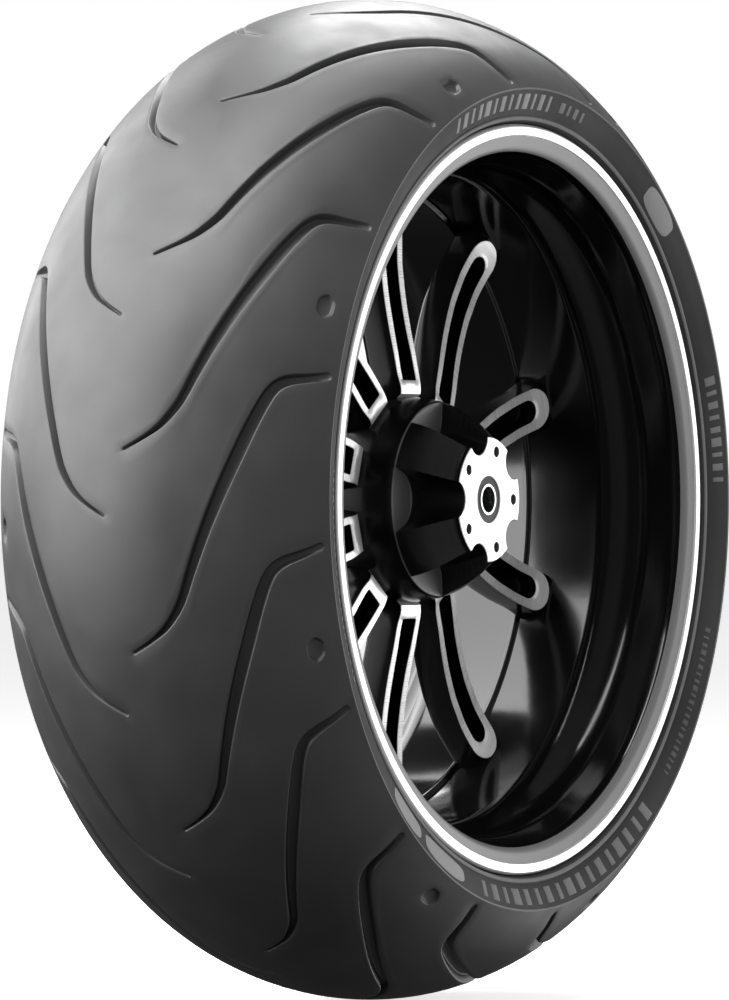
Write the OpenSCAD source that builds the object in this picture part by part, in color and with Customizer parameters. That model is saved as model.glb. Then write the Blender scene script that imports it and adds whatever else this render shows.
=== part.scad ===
// Rear motorcycle wheel with its 240/40 R18 radial tyre.
// Origin: centre of the wheel, on the axle line, midway between the rim flanges.
// The axle runs along Y. The right side of the motorcycle is -Y and +Z is up.
// Every round piece is drawn about Z first. Its "t" is the distance to the right
// of the middle plane, and on_axle() then lays Z down along -Y.

/* [Tyre] */
// Outside diameter of the tyre
tyre_d = 649; // [645:0.5:652]
// Section width of the tyre, from tread edge to tread edge
tyre_w = 240; // [239:0.25:241]
// Radius of the crown arc across the tread
crown_r = 150; // [149.5:0.25:150.5]
// Thickness of the grooved cap rubber, which is also the groove depth
cap_t = 6; // [5:0.25:6.5]
// Thickness of the base rubber under the grooves
base_t = 2; // [1.5:0.25:2.5]
// Thickness of each belt ply with the skim of rubber inside it
belt_t = 1.2; // [1.1:0.05:1.2]
// Half angle of the outer belt ply, seen from the centre of the crown arc
belt_outer_a = 46; // [42:0.5:47]
// Half angle of the inner belt ply
belt_inner_a = 48; // [47.5:0.25:49]
// Half angle at which the carcass leaves the crown and turns down the sidewall
carcass_a = 50; // [49.5:0.25:50.5]

/* [Tread pattern] */
// Number of grooves on each half of the tread
groove_count = 16; // [12:1:18]
// Angle of the first groove tip on the right half
tip_right = 107; // [95:0.5:115]
// Angle of the first groove tip on the left half
tip_left = 114.3; // [95:0.1:125]

/* [Rim] */
// Radius of the rim flange top
flange_r = 241.8; // [241.6:0.1:242]
// Half width of the rim over its flanges
rim_half_w = 111.3; // [110.5:0.1:111.5]
// Outside radius of the drop centre
well_r = 214; // [212:0.5:215]
// Inside radius of the barrel behind the drop centre
barrel_in_r = 208; // [206:0.5:209]

/* [Spokes] */
// Number of spokes
spoke_count = 10; // [8:1:10]
// Width of a spoke
spoke_w = 28; // [27:0.5:32]
// Width of the bright wall on each side of the channel in a spoke
spoke_wall = 6; // [3:0.25:7]
// Depth of that channel
channel_depth = 12; // [8:0.5:14]

/* [Hub] */
// Radius of the machined face on the right
hub_face_r = 40.3; // [39.5:0.1:41.5]
// Distance of that face from the middle plane
hub_face_t = 84; // [83.5:0.25:85]
// Radius of the hub where the spokes spring from it
hub_root_r = 66; // [65:0.25:68]
// Circle of the five brake disc holes, radius
disc_pitch_r = 32.3; // [32:0.1:33]
// Radius of each brake disc hole
disc_hole_r = 3.4; // [3:0.1:3.6]
// Circle of the five pulley holes on the left, radius
pulley_pitch_r = 45; // [44:0.25:46]
// Radius of each pulley hole
pulley_hole_r = 4.25; // [3.4:0.05:5]
// Distance of the pulley face from the middle plane
pulley_face_t = 62; // [60:0.5:64]

/* [Axle and bearings] */
// Radius of the bore for the axle
axle_r = 8.5; // [8:0.1:8.75]
// Outside radius of the bearings and dust seals
bearing_r = 15; // [14.8:0.05:15.2]
// Width of a bearing
bearing_w = 7; // [6.8:0.1:7.2]
// Number of balls in a bearing
ball_count = 12; // [9:1:13]

/* [Valve] */
// Distance of the valve to the right of the middle plane
valve_t = 42; // [40:0.5:46]
// Travel of the pin when the valve is pressed open
pin_travel = 1.2; // [0.8:0.1:1.2]

/* [Hidden] */
$fn = 96;

// Crown arc of the tyre and the radii of its layers, measured along that arc's radius
crown_c = tyre_d / 2 - crown_r;
edge_a = asin(tyre_w / 2 / crown_r);
cap_in = crown_r - cap_t;
base_in = cap_in - base_t;
belt_mid = base_in - belt_t;
skim = 0.25;
ply_out = belt_mid - belt_t;
ply_in = ply_out - 1.4;
liner_in = ply_in - 1;
crown_steps = 16;

// Chains of [radius, t] points through the bead and the lower sidewall of the right half
main_ply_out = [[258, 109.4], [253.2, 108.6], [249.2, 105]];
apex_in = [[249.2, 105], [242.8, 97.4], [240.2, 91], [237.2, 88.7]];
core_loop = [[237.2, 88.7], [234, 87.5], [230.8, 88.7], [230.8, 94.3], [234, 95.5], [237.2, 94.3]];
apex_out = [[237.2, 94.3], [241, 99.6], [248.3, 105.9]];
turn_up_end = [247.4, 107.1];
turn_up_out = [[239.9, 100.7], [236.7, 96.1], [234, 97], [229.4, 95.2], [229.4, 87.8], [234, 86]];
main_ply_in = [[234, 86], [237.9, 87.3], [241.5, 90.1], [244.1, 96.6], [250.2, 103.9],
               [253.9, 107.2], [257.8, 107.9]];
liner_face = [[257.6, 106.8], [254.5, 106.2], [251.1, 103.3], [245.1, 96.2], [242.4, 89.5],
              [238.5, 86.5], [234, 84.8]];
// The line that the chafer shares with the flange and the bead seat of the rim
flange_line = [[flange_r, 107.5], [240.6, 104.6], [236.5, 102.4], [232, 101.6], [229.4, 101.6],
               [228.6, 100.6], [227.15, 84]];
chafer_top = (turn_up_end + turn_up_out[0]) / 2;
// Outside of the sidewall, from the tread edge down past the fine rib beside the rim
sidewall_face = [[260, tyre_w / 2 - 1], [254, 116.5], [249, 114], [246.8, 112.6], [245.6, 113.3],
                 [244.2, 113], [243.2, 111.8], [242.4, 109.8]];

// Groove outline: [distance from the crown line, angle past the tip]
groove_upper = [[6, 0], [20, -1.6], [30, -3], [38, -5.2], [50, -10.2], [70, -19.6], [95, -31],
                [99, -32.2], [145, -34.8]];
groove_lower = [[145, -33.2], [107, -30.9], [95, -27.6], [80, -20.2], [50, -7.6], [42, -4.2],
                [35, -2.8], [20, -1.1], [6, 0.3]];
// Direction in which a groove is cut: angle up from the middle plane, and behind the tip
cut_a = 27;
cut_back = 18;

// Rim, one half, from the flange top round the outside and from the well back to the lip
rim_outside = concat([[234.3, rim_half_w], [239.7, rim_half_w], [241.1, rim_half_w - 1.1]],
                     flange_line,
                     [[226.95, 82], [228, 80], [227.6, 77.5], [226, 75.5], [well_r, 63]]);
rim_inside = [[barrel_in_r, 57], [217.5, 70], [220.6, 77], [221.8, 95], [222.3, 100.8],
              [223.6, 104.8], [226.5, 108], [233.8, 110]];

// Spoke seen from the side: [radius, t] of its front face, and its depth front to back
spoke_front = [[60, 26.5], [70, 26.3], [81, 24.5], [96, 21.6], [112, 18.2], [142, 13], [158, 11.5],
               [180, 12.5], [212, 17.8]];
spoke_depth = 24;
channel_start = 77;
channel_end = 197;

// Hub outline on the right, and the end walls of its five flutes
hub_bell = [[hub_face_r, hub_face_t], [41, 80], [48.9, 71], [55.8, 62], [60.8, 53], [63.4, 46],
            [65.2, 38], [hub_root_r, 30]];
flute_end_t = 48;
flute_face_r = 12;
flute_end_r = 19;
flute_face_c = 42.5;
flute_end_c = 57;
hub_root_left_t = -16;
hub_left_r = 60;
recess_out_r = 54;
recess_in_r = 24;
recess_end_t = -10;
tube_left_t = 70;
// The pulley bosses stand 2 mm proud of the open drum
drum_end_t = pulley_face_t - 2;
boss_r = 11.5;

// Places along the axle, as distances from the middle plane on the side they are on
race_r = 10.2;
ball_r = 1.75;
ball_pitch_r = 11.75;
running_gap = 0.05;
right_out = hub_face_t - 4.5;
left_out = tube_left_t - 4.5;
seal_t = 3.2;
collar_r = 10;
collar_len = 4.2;

// Places along the valve, as radii from the axle
tip_r = 167.5;
shoulder_r = 175.5;
nut_seat_r = 203.5;
grommet_seat_r = 213.5;
head_r = 215.5;

function crown(rho, a0, a1) =
    [for (i = [0:crown_steps])
        let (a = a0 + (a1 - a0) * i / crown_steps)
        [crown_c + rho * cos(a), rho * sin(a)]];
function crown_at(rho, a) = [crown_c + rho * cos(a), rho * sin(a)];
function reversed(list) = [for (i = [len(list) - 1:-1:0]) list[i]];
function other_side(list) = [for (p = reversed(list)) [p[0], -p[1]]];
function lowered(list, drop) = [for (p = list) [p[0], p[1] - drop]];

// Where a tread point falls on the plane that a groove is drawn on before it is cut
function on_cut_plane(s, turn) =
    let (a = s / crown_r * 180 / PI,
         r = crown_c + crown_r * cos(a),
         behind = turn + cut_back)
    [sin(cut_a) * r * cos(behind) - cos(cut_a) * crown_r * sin(a), r * sin(behind)];

module on_axle() rotate([90, 0, 0]) children();
module ring(points) rotate_extrude($fn = 180) polygon(points);
module both_ends(side) if (side > 0) children(); else mirror([0, 0, 1]) children();
module tube(r_in, r_out, t0, t1)
    translate([0, 0, t0])
        difference() {
            cylinder(r = r_out, h = t1 - t0);
            translate([0, 0, -1]) cylinder(r = r_in, h = t1 - t0 + 2);
        }

// ---------------------------------------------------------------- tyre
module groove_cut(tip) {
    outline = [for (p = concat(groove_upper, groove_lower)) on_cut_plane(p[0], p[1])];
    rotate([0, 0, tip - cut_back])
        rotate([0, 90 - cut_a, 0])
            translate([0, 0, 240])
                linear_extrude(100) polygon(outline);
}

module tread_cap() color("#2b2c2e") on_axle() difference() {
    ring(concat(crown(crown_r, -edge_a, edge_a), crown(cap_in, edge_a, -edge_a)));
    for (i = [0:groove_count - 1]) {
        groove_cut(tip_right + i * 360 / groove_count);
        mirror([0, 0, 1]) groove_cut(tip_left + i * 360 / groove_count);
    }
}

module tread_base() {
    half = concat([crown_at(base_in, belt_outer_a), crown_at(belt_mid, belt_outer_a),
                   crown_at(belt_mid, belt_inner_a), crown_at(ply_out, belt_inner_a),
                   crown_at(ply_out, carcass_a)]);
    color("#242527") on_axle()
        ring(concat(crown(cap_in, -edge_a, edge_a), reversed(half),
                    crown(base_in, belt_outer_a, -belt_outer_a), other_side(reversed(half))));
}

module belt_ply_outer() color("#a98f4f") on_axle()
    ring(concat(crown(base_in, -belt_outer_a, belt_outer_a),
                crown(belt_mid + skim, belt_outer_a, -belt_outer_a)));

module belt_ply_inner() color("#b39a5a") on_axle()
    ring(concat(crown(belt_mid, -belt_inner_a, belt_inner_a),
                crown(ply_out + skim, belt_inner_a, -belt_inner_a)));

module carcass_ply() {
    down = concat(main_ply_out, apex_in, core_loop, apex_out, [turn_up_end], turn_up_out,
                  main_ply_in);
    color("#8a7a62") on_axle()
        ring(concat(crown(ply_out, -carcass_a, carcass_a), down,
                    crown(ply_in, carcass_a, -carcass_a), other_side(down)));
}

module inner_liner() {
    down = concat(reversed(main_ply_in), reversed(liner_face));
    color("#1d1d1f") on_axle()
        ring(concat(crown(ply_in, -carcass_a, carcass_a), down,
                    crown(liner_in, carcass_a, -carcass_a), other_side(down)));
}

module sidewall(side) color("#333436") on_axle() both_ends(side)
    ring(concat([chafer_top, turn_up_end, apex_out[2]], reversed(main_ply_out),
                [crown_at(ply_out, carcass_a), crown_at(cap_in, edge_a), crown_at(crown_r, edge_a)],
                sidewall_face, [flange_line[0]]));

module chafer(side) color("#202123") on_axle() both_ends(side)
    ring(concat([liner_face[6], main_ply_in[0]], reversed(turn_up_out), [chafer_top],
                flange_line, [[227.8, 82.2]]));

module bead_core(side) color("#b7babd") on_axle() both_ends(side) ring(core_loop);

module bead_filler(side) color("#3a3330") on_axle() both_ends(side)
    ring(concat(apex_in, apex_out));

// ---------------------------------------------------------------- wheel casting
module rim_barrel() color("#141517") on_axle() difference() {
    union() {
        ring(concat(rim_outside, other_side(rim_outside), other_side(rim_inside), rim_inside));
        on_valve(nut_seat_r) cylinder(r = 11, h = grommet_seat_r - nut_seat_r - 1);
    }
    on_valve(nut_seat_r - 5) cylinder(r = 4, h = 30, $fn = 48);
    on_valve(grommet_seat_r) cylinder(r = 9.5, h = 5, $fn = 64);
}

module spoke(i) {
    beam = concat(spoke_front, reversed(lowered(spoke_front, spoke_depth)));
    floor_line = lowered(spoke_front, channel_depth);
    end_r = spoke_w / 2 - spoke_wall;
    color("#17181a") on_axle() rotate([0, 0, 18 + (i - 1) * 360 / spoke_count])
        difference() {
            intersection() {
                rotate([90, 0, 0]) linear_extrude(spoke_w, center = true) polygon(beam);
                translate([0, 0, -40]) tube(hub_root_r, barrel_in_r, 0, 80);
            }
            intersection() {
                rotate([90, 0, 0])
                    linear_extrude(spoke_w, center = true)
                        polygon(concat(floor_line, [[212, 60], [60, 60]]));
                union() {
                    translate([channel_start, -end_r, -60])
                        cube([channel_end - end_r - channel_start, 2 * end_r, 140]);
                    translate([channel_end - end_r, 0, -60]) cylinder(r = end_r, h = 140);
                }
            }
        }
}

module flute() {
    lean = atan((flute_end_c - flute_face_c) / (hub_face_t - flute_end_t));
    run = norm([flute_end_c - flute_face_c, hub_face_t - flute_end_t]);
    widen = (flute_end_r - flute_face_r) / run;
    intersection() {
        translate([flute_face_c, 0, hub_face_t])
            rotate([0, 180 - lean, 0])
                translate([0, 0, -15])
                    cylinder(r1 = flute_face_r - 15 * widen, r2 = flute_end_r + 20 * widen,
                             h = run + 35);
        translate([0, -40, flute_end_t]) cube([100, 80, 60]);
    }
}

module hub_shell() {
    outline = concat([[0, hub_face_t]], hub_bell,
                     [[hub_root_r, hub_root_left_t], [hub_left_r + 2, hub_root_left_t - 4],
                      [hub_left_r, -drum_end_t], [recess_out_r, -drum_end_t],
                      [recess_out_r, recess_end_t], [recess_in_r, recess_end_t],
                      [recess_in_r, -tube_left_t], [0, -tube_left_t]]);
    right_in = right_out - bearing_w;
    left_in = left_out - bearing_w;
    color("#1a1b1d") on_axle() difference() {
        union() {
            ring(outline);
            for (i = [0:4])
                rotate([0, 0, 36 + i * 72]) {
                    translate([pulley_pitch_r, 0, -pulley_face_t])
                        cylinder(r = boss_r, h = pulley_face_t + recess_end_t + 1);
                    translate([recess_in_r - 1, -3, -pulley_face_t + 6])
                        cube([pulley_pitch_r - recess_in_r, 6, pulley_face_t + recess_end_t - 5]);
                }
        }
        for (i = [0:4]) {
            rotate([0, 0, 36 + i * 72]) flute();
            rotate([0, 0, i * 72]) translate([disc_pitch_r, 0, hub_face_t - 24])
                cylinder(r = disc_hole_r, h = 30, $fn = 48);
            rotate([0, 0, 36 + i * 72]) translate([pulley_pitch_r, 0, -pulley_face_t - 5])
                cylinder(r = pulley_hole_r, h = 35, $fn = 48);
        }
        translate([0, 0, right_in]) cylinder(r = bearing_r, h = 40);
        translate([0, 0, -left_in - 40]) cylinder(r = bearing_r, h = 40);
        translate([0, 0, -100]) cylinder(r = 12.5, h = 200);
    }
}

// ---------------------------------------------------------------- bearings and axle pieces
// Each bearing piece is drawn with its middle at t = 0 and then moved to its seat.
module at_bearing(side) on_axle()
    translate([0, 0, side > 0 ? right_out - bearing_w / 2 : bearing_w / 2 - left_out])
        children();

module ball_track(track_r)
    rotate_extrude() translate([track_r, 0]) circle(r = ball_r + running_gap, $fn = 48);

module bearing_outer_race(side) color("#c7cacd") at_bearing(side) difference() {
    tube(13.3, bearing_r, -bearing_w / 2, bearing_w / 2);
    ball_track(ball_pitch_r);
}

module bearing_inner_race(side) color("#c7cacd") at_bearing(side) difference() {
    tube(axle_r, race_r, -bearing_w / 2, bearing_w / 2);
    ball_track(ball_pitch_r);
}

module bearing_balls(side) color("#e2e4e6") at_bearing(side)
    for (i = [0:ball_count - 1])
        rotate([0, 0, i * 360 / ball_count]) translate([ball_pitch_r, 0, 0])
            sphere(r = ball_r, $fn = 48);

module bearing_cage(side) color("#b08d3c") at_bearing(side) difference() {
    tube(11, 12.5, -2.2, 2.2);
    for (i = [0:ball_count - 1])
        rotate([0, 0, i * 360 / ball_count]) translate([ball_pitch_r - 2, 0, 0])
            rotate([0, 90, 0]) cylinder(r = ball_r + running_gap, h = 4, $fn = 48);
}

module bearing_shields(side) color("#26282b") at_bearing(side) {
    tube(race_r + running_gap, 13.3, bearing_w / 2 - 0.9, bearing_w / 2 - 0.4);
    tube(race_r + running_gap, 13.3, 0.4 - bearing_w / 2, 0.9 - bearing_w / 2);
}

module dust_seal(side) color("#6d7073") on_axle()
    both_ends(side)
        tube(collar_r + running_gap, bearing_r,
             (side > 0 ? right_out : left_out) + 0.4, (side > 0 ? right_out : left_out) + 0.4 + seal_t);

module axle_collar(side) color("#d9dbdd") on_axle()
    both_ends(side)
        tube(axle_r, collar_r, side > 0 ? right_out : left_out,
             (side > 0 ? right_out : left_out) + collar_len);

module spacer_tube() color("#9a9da0") on_axle()
    tube(axle_r, race_r, bearing_w - left_out, right_out - bearing_w);

// ---------------------------------------------------------------- valve
// Draws along the valve: local Z is the distance from the axle.
module on_valve(from_r) translate([0, 0, valve_t]) rotate([0, -90, 0]) translate([0, 0, from_r])
    children();

module valve_stem() color("#c9a227") on_axle() difference() {
    union() {
        on_valve(tip_r) cylinder(r = 3.6, h = shoulder_r - tip_r + 1, $fn = 64);
        on_valve(shoulder_r) cylinder(r = 4, h = head_r - shoulder_r, $fn = 64);
        on_valve(head_r) cylinder(r = 8.5, h = 2.5, $fn = 64);
    }
    on_valve(tip_r - 1) cylinder(r = 2, h = 23.5, $fn = 48);
    on_valve(tip_r - 1) cylinder(r = 1.3, h = 60, $fn = 48);
}

module valve_grommet() color("#1b1b1d") on_axle() on_valve(grommet_seat_r)
    tube(4, 9, 0, head_r - grommet_seat_r);

module valve_nut() color("#bfc2c5") on_axle() on_valve(nut_seat_r - 5) difference() {
    cylinder(r = 8, h = 5, $fn = 6);
    translate([0, 0, -1]) cylinder(r = 4, h = 7, $fn = 48);
}

module valve_core() color("#b08d3c") on_axle() on_valve(176) tube(1.2, 2, 0, 11);

module valve_core_pin() color("#d8dadc") on_axle() {
    on_valve(tip_r + 0.8) cylinder(r = 0.75, h = 20.8, $fn = 32);
    on_valve(tip_r + 1.7) cylinder(r = 1.55, h = 0.8, $fn = 32);
    on_valve(187.2) cylinder(r = 1.6, h = 1.1, $fn = 32);
}

module valve_spring() {
    turns = 4;
    steps = 10;
    sides = 6;
    coil_r = 1.35;
    wire_r = 0.17;
    rise = 4;
    rings = turns * steps;
    points = [for (i = [0:rings], k = [0:sides - 1])
        let (a = i * 360 / steps, b = k * 360 / sides, r = coil_r + wire_r * cos(b))
        [r * cos(a), r * sin(a), rise * i / rings + wire_r * sin(b) + wire_r]];
    walls = [for (i = [0:rings - 1], k = [0:sides - 1])
        let (n = (k + 1) % sides)
        [i * sides + k, (i + 1) * sides + k, (i + 1) * sides + n, i * sides + n]];
    ends = [[for (k = [0:sides - 1]) k], [for (k = [sides - 1:-1:0]) rings * sides + k]];
    color("#b7babd") on_axle() on_valve(171.5) polyhedron(points, concat(walls, ends));
}

module valve_cap() color("#202224") on_axle() difference() {
    on_valve(tip_r - 2) cylinder(r = 4.8, h = shoulder_r - tip_r + 1.7, $fn = 64);
    on_valve(tip_r - 0.4) cylinder(r = 3.6 + running_gap, h = 20, $fn = 64);
}

tread_cap();
tread_base();
belt_ply_outer();
belt_ply_inner();
carcass_ply();
inner_liner();
sidewall(1);  // sidewall_right
sidewall(-1);  // sidewall_left
chafer(1);  // chafer_right
chafer(-1);  // chafer_left
bead_core(1);  // bead_core_right
bead_core(-1);  // bead_core_left
bead_filler(1);  // bead_filler_right
bead_filler(-1);  // bead_filler_left
rim_barrel();
hub_shell();
for (i = [1:spoke_count])
    spoke(i);
bearing_outer_race(1);  // bearing_outer_race_right
bearing_outer_race(-1);  // bearing_outer_race_left
bearing_inner_race(1);  // bearing_inner_race_right
bearing_inner_race(-1);  // bearing_inner_race_left
bearing_balls(1);  // bearing_balls_right
bearing_balls(-1);  // bearing_balls_left
bearing_cage(1);  // bearing_cage_right
bearing_cage(-1);  // bearing_cage_left
bearing_shields(1);  // bearing_shields_right
bearing_shields(-1);  // bearing_shields_left
dust_seal(1);  // dust_seal_right
dust_seal(-1);  // dust_seal_left
axle_collar(1);  // axle_collar_right
axle_collar(-1);  // axle_collar_left
spacer_tube();
valve_stem();
valve_grommet();
valve_nut();
valve_core();
valve_core_pin();
valve_spring();
valve_cap();
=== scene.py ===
"""Visual model of a 240/40 R18 motorcycle tyre on its cast rear wheel.

The wheel's axle is the Y axis of the frame. Round pieces are described by (radius, out) pairs,
where "out" is the distance from the middle plane towards the right side of the motorcycle (-Y).
Angles are measured about the axle, from +X towards +Z. Lengths in this file are millimetres
until place() turns them into the frame's metres.
"""
import math

import bmesh
import bpy
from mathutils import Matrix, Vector
from mathutils.geometry import delaunay_2d_cdt

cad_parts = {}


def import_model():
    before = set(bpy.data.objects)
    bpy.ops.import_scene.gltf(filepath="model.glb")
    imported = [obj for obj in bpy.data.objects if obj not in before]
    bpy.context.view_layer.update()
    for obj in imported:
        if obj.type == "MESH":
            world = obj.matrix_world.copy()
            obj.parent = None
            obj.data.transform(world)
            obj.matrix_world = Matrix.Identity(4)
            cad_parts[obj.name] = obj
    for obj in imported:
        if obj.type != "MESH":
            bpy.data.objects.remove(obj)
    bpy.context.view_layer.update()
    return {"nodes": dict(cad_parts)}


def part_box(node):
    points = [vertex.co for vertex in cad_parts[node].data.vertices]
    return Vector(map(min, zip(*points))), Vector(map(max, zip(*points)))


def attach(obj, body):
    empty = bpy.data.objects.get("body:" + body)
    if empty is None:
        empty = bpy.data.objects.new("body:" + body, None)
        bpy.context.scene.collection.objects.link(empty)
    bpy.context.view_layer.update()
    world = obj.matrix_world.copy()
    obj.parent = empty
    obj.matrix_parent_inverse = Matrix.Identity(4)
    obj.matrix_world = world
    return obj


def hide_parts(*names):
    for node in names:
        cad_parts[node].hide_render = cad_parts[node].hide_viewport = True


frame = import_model()
MM = 0.001
# A face whose normal lies this close to the axle is square to it, and is shaded flat
SQUARE_ON = 0.99998


def node_extent(node):
    """Largest radius and largest distance from the middle plane of a CAD node, in millimetres."""
    low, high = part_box(node)
    return max(high.x, high.z) / MM, max(-low.y, high.y) / MM


# ------------------------------------------------------------------ sizes, in millimetres
TYRE_R, TYRE_HALF_W = node_extent("tread_cap")
CROWN_R = 150.0
CROWN_C = TYRE_R - CROWN_R
EDGE_ANGLE = math.asin(TYRE_HALF_W / CROWN_R)
EDGE_S = EDGE_ANGLE * CROWN_R
TREAD_THICK = 8.0

PITCH = 22.5
TIP_RIGHT = 107.0
TIP_LEFT = 114.3
GROOVE_DEPTH = 6.0
CELL_ACROSS, CELL_AROUND = 42, 28  # even points of one cell of the tread
SKIN_BANDS = 14  # bands of the tread's inner skin
LOOP_CLEAR = 2.6  # no even point comes this close to a groove or pit
DEGREE_MM = 5.2  # about the length of one degree of tread

FLANGE_OUT = node_extent("rim_barrel")[1]
WELL_IN_R = 208.0
VALVE_OUT = 42.0
VALVE_SEAT_R = 203.5
HUB_R = 66.0
HUB_FACE_OUT = 84.0
SPOKES = 10
SPOKE_STEP = 360 / SPOKES
SPOKE_HALF_W = 14.0


# ------------------------------------------------------------------ small geometry helpers
def place(radius, turn, out):
    """Frame position in metres of a point given by its radius, its angle in radians and its out."""
    return (radius * math.cos(turn) * MM, -out * MM, radius * math.sin(turn) * MM)


def read_table(table, x):
    """Smooth (monotone cubic) reading of a short table of (x, y) pairs."""
    if x <= table[0][0]:
        return table[0][1]
    if x >= table[-1][0]:
        return table[-1][1]
    slopes = []
    for i in range(len(table) - 1):
        (x0, y0), (x1, y1) = table[i], table[i + 1]
        slopes.append((y1 - y0) / (x1 - x0))
    tangents = [slopes[0]]
    for a, b in zip(slopes, slopes[1:]):
        tangents.append(0.0 if a * b <= 0 else 2 * a * b / (a + b))
    tangents.append(slopes[-1])
    i = next(k for k in range(len(table) - 1) if x <= table[k + 1][0])
    (x0, y0), (x1, y1) = table[i], table[i + 1]
    h = x1 - x0
    t = (x - x0) / h
    a = (1 + 2 * t) * (1 - t) ** 2 * y0 + t * (1 - t) ** 2 * h * tangents[i]
    b = t * t * (3 - 2 * t) * y1 + t * t * (t - 1) * h * tangents[i + 1]
    return a + b


def rounded(points, radius, steps=4, closed=False):
    """The polyline with each inner corner replaced by an arc-like curve. radius may be a list."""
    count = len(points)
    result = []
    for i, p in enumerate(points):
        r = radius[i] if isinstance(radius, (list, tuple)) else radius
        if (not closed and i in (0, count - 1)) or r == 0:
            result.append(tuple(p))
            continue
        before, here, after = Vector(points[i - 1]), Vector(p), Vector(points[(i + 1) % count])
        a, b = before - here, after - here
        reach = min(r, 0.45 * a.length, 0.45 * b.length)
        start, end = here + a.normalized() * reach, here + b.normalized() * reach
        for k in range(steps + 1):
            t = k / steps
            q = start * (1 - t) ** 2 + here * 2 * t * (1 - t) + end * t * t
            result.append((q.x, q.y))
    return result


def eased(t):
    """A smooth step from 0 to 1."""
    t = max(0.0, min(1.0, t))
    return t * t * (3 - 2 * t)


def piece(name, verts, faces, materials, body, replaces=(), face_material=None,
          sharp_angle=35.0):
    """A mesh object made from vertices in metres, which rides on a CAD body."""
    mesh = bpy.data.meshes.new(name)
    mesh.from_pydata(verts, [], faces)
    for m in materials:
        mesh.materials.append(m)
    if face_material:
        mesh.polygons.foreach_set("material_index", face_material)
    work = bmesh.new()
    work.from_mesh(mesh)
    bmesh.ops.remove_doubles(work, verts=work.verts, dist=2e-6)
    bmesh.ops.recalc_face_normals(work, faces=work.faces)
    work.to_mesh(mesh)
    work.free()
    mesh.shade_smooth()
    mesh.set_sharp_from_angle(angle=math.radians(sharp_angle))
    for polygon in mesh.polygons:
        polygon.use_smooth = abs(polygon.normal.y) < SQUARE_ON
    obj = bpy.data.objects.new(name, mesh)
    bpy.context.scene.collection.objects.link(obj)
    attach(obj, body)
    if replaces:
        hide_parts(*replaces)
    return obj


def ring_bands(count, sides, closed=False):
    """Four-sided faces that join each of count rings of points to the next; closed adds last to first."""
    faces = []
    for k in range(count if closed else count - 1):
        following = (k + 1) % count
        for j in range(sides):
            m = (j + 1) % sides
            faces.append((k * sides + j, k * sides + m, following * sides + m, following * sides + j))
    return faces


def capped_bands(count, sides):
    """The bands between rings, and a face that closes the last ring."""
    return ring_bands(count, sides) + [tuple((count - 1) * sides + j for j in range(sides))]


def shifted(faces, first):
    """The faces with every vertex number raised by first."""
    return [tuple(first + k for k in face) for face in faces]


def circle(radius, count, centre=(0.0, 0.0)):
    """Evenly spaced points round a circle."""
    return [(centre[0] + radius * math.cos(2 * math.pi * k / count),
             centre[1] + radius * math.sin(2 * math.pi * k / count)) for k in range(count)]


def stacked_rings(centre, rings, sides):
    """Vertices of (radius, out) rings whose middles lie at one (x, z)."""
    return [(x * MM, -out * MM, z * MM)
            for radius, out in rings for x, z in circle(radius, sides, centre)]


def on_circle(radius, degrees):
    """(x, z) of a point on a circle round the axle."""
    a = math.radians(degrees)
    return radius * math.cos(a), radius * math.sin(a)


def revolved(profile, segments, face_slot):
    """Vertices, faces and face materials of a closed (radius, out) profile turned about the axle.

    face_slot(k) gives the material index of the band after profile point k.
    """
    verts = [place(r, 2 * math.pi * i / segments, out) for i in range(segments) for r, out in profile]
    slots = [face_slot(k) for k in range(len(profile))] * segments
    return verts, ring_bands(segments, len(profile), closed=True), slots


# ------------------------------------------------------------------ material helpers
def material(name, color, roughness, metallic=0.0, **sockets):
    """A new material; returns it with its node tree and its Principled shader."""
    m = bpy.data.materials.new(name)
    m.use_nodes = True
    tree = m.node_tree
    shader = tree.nodes["Principled BSDF"]
    shader.inputs["Base Color"].default_value = (*color, 1)
    shader.inputs["Roughness"].default_value = roughness
    shader.inputs["Metallic"].default_value = metallic
    for key, value in sockets.items():
        shader.inputs[key.replace("_", " ")].default_value = value
    return m, tree, shader


def texture(tree, kind, scale, detail):
    """The grey value of a procedural texture in object coordinates."""
    coords = tree.nodes.new("ShaderNodeTexCoord")
    tex = tree.nodes.new(kind)
    tex.inputs["Scale"].default_value = scale
    tex.inputs["Detail"].default_value = detail
    tree.links.new(coords.outputs["Object"], tex.inputs["Vector"])
    return tex.outputs["Fac"]


def spread(tree, source, low, high, to_low, to_high):
    """A source value moved from one range to another."""
    node = tree.nodes.new("ShaderNodeMapRange")
    for key, value in (("From Min", low), ("From Max", high), ("To Min", to_low), ("To Max", to_high)):
        node.inputs[key].default_value = value
    tree.links.new(source, node.inputs["Value"])
    return node.outputs["Result"]


def blend_colors(tree, factor, dark, light):
    """A colour between dark and light, by factor."""
    mix = tree.nodes.new("ShaderNodeMix")
    mix.data_type = "RGBA"
    mix.inputs["A"].default_value = (*dark, 1)
    mix.inputs["B"].default_value = (*light, 1)
    tree.links.new(factor, mix.inputs["Factor"])
    return mix.outputs["Result"]


def uneven_roughness(tree, shader, factor, low, high):
    """Roughness that wanders from low to high with the middle of a noise value."""
    tree.links.new(spread(tree, factor, 0.3, 0.7, low, high), shader.inputs["Roughness"])


def add_bump(tree, shader, height, strength, distance):
    bump = tree.nodes.new("ShaderNodeBump")
    bump.inputs["Strength"].default_value = strength
    bump.inputs["Distance"].default_value = distance
    tree.links.new(height, bump.inputs["Height"])
    tree.links.new(bump.outputs["Normal"], shader.inputs["Normal"])


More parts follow.
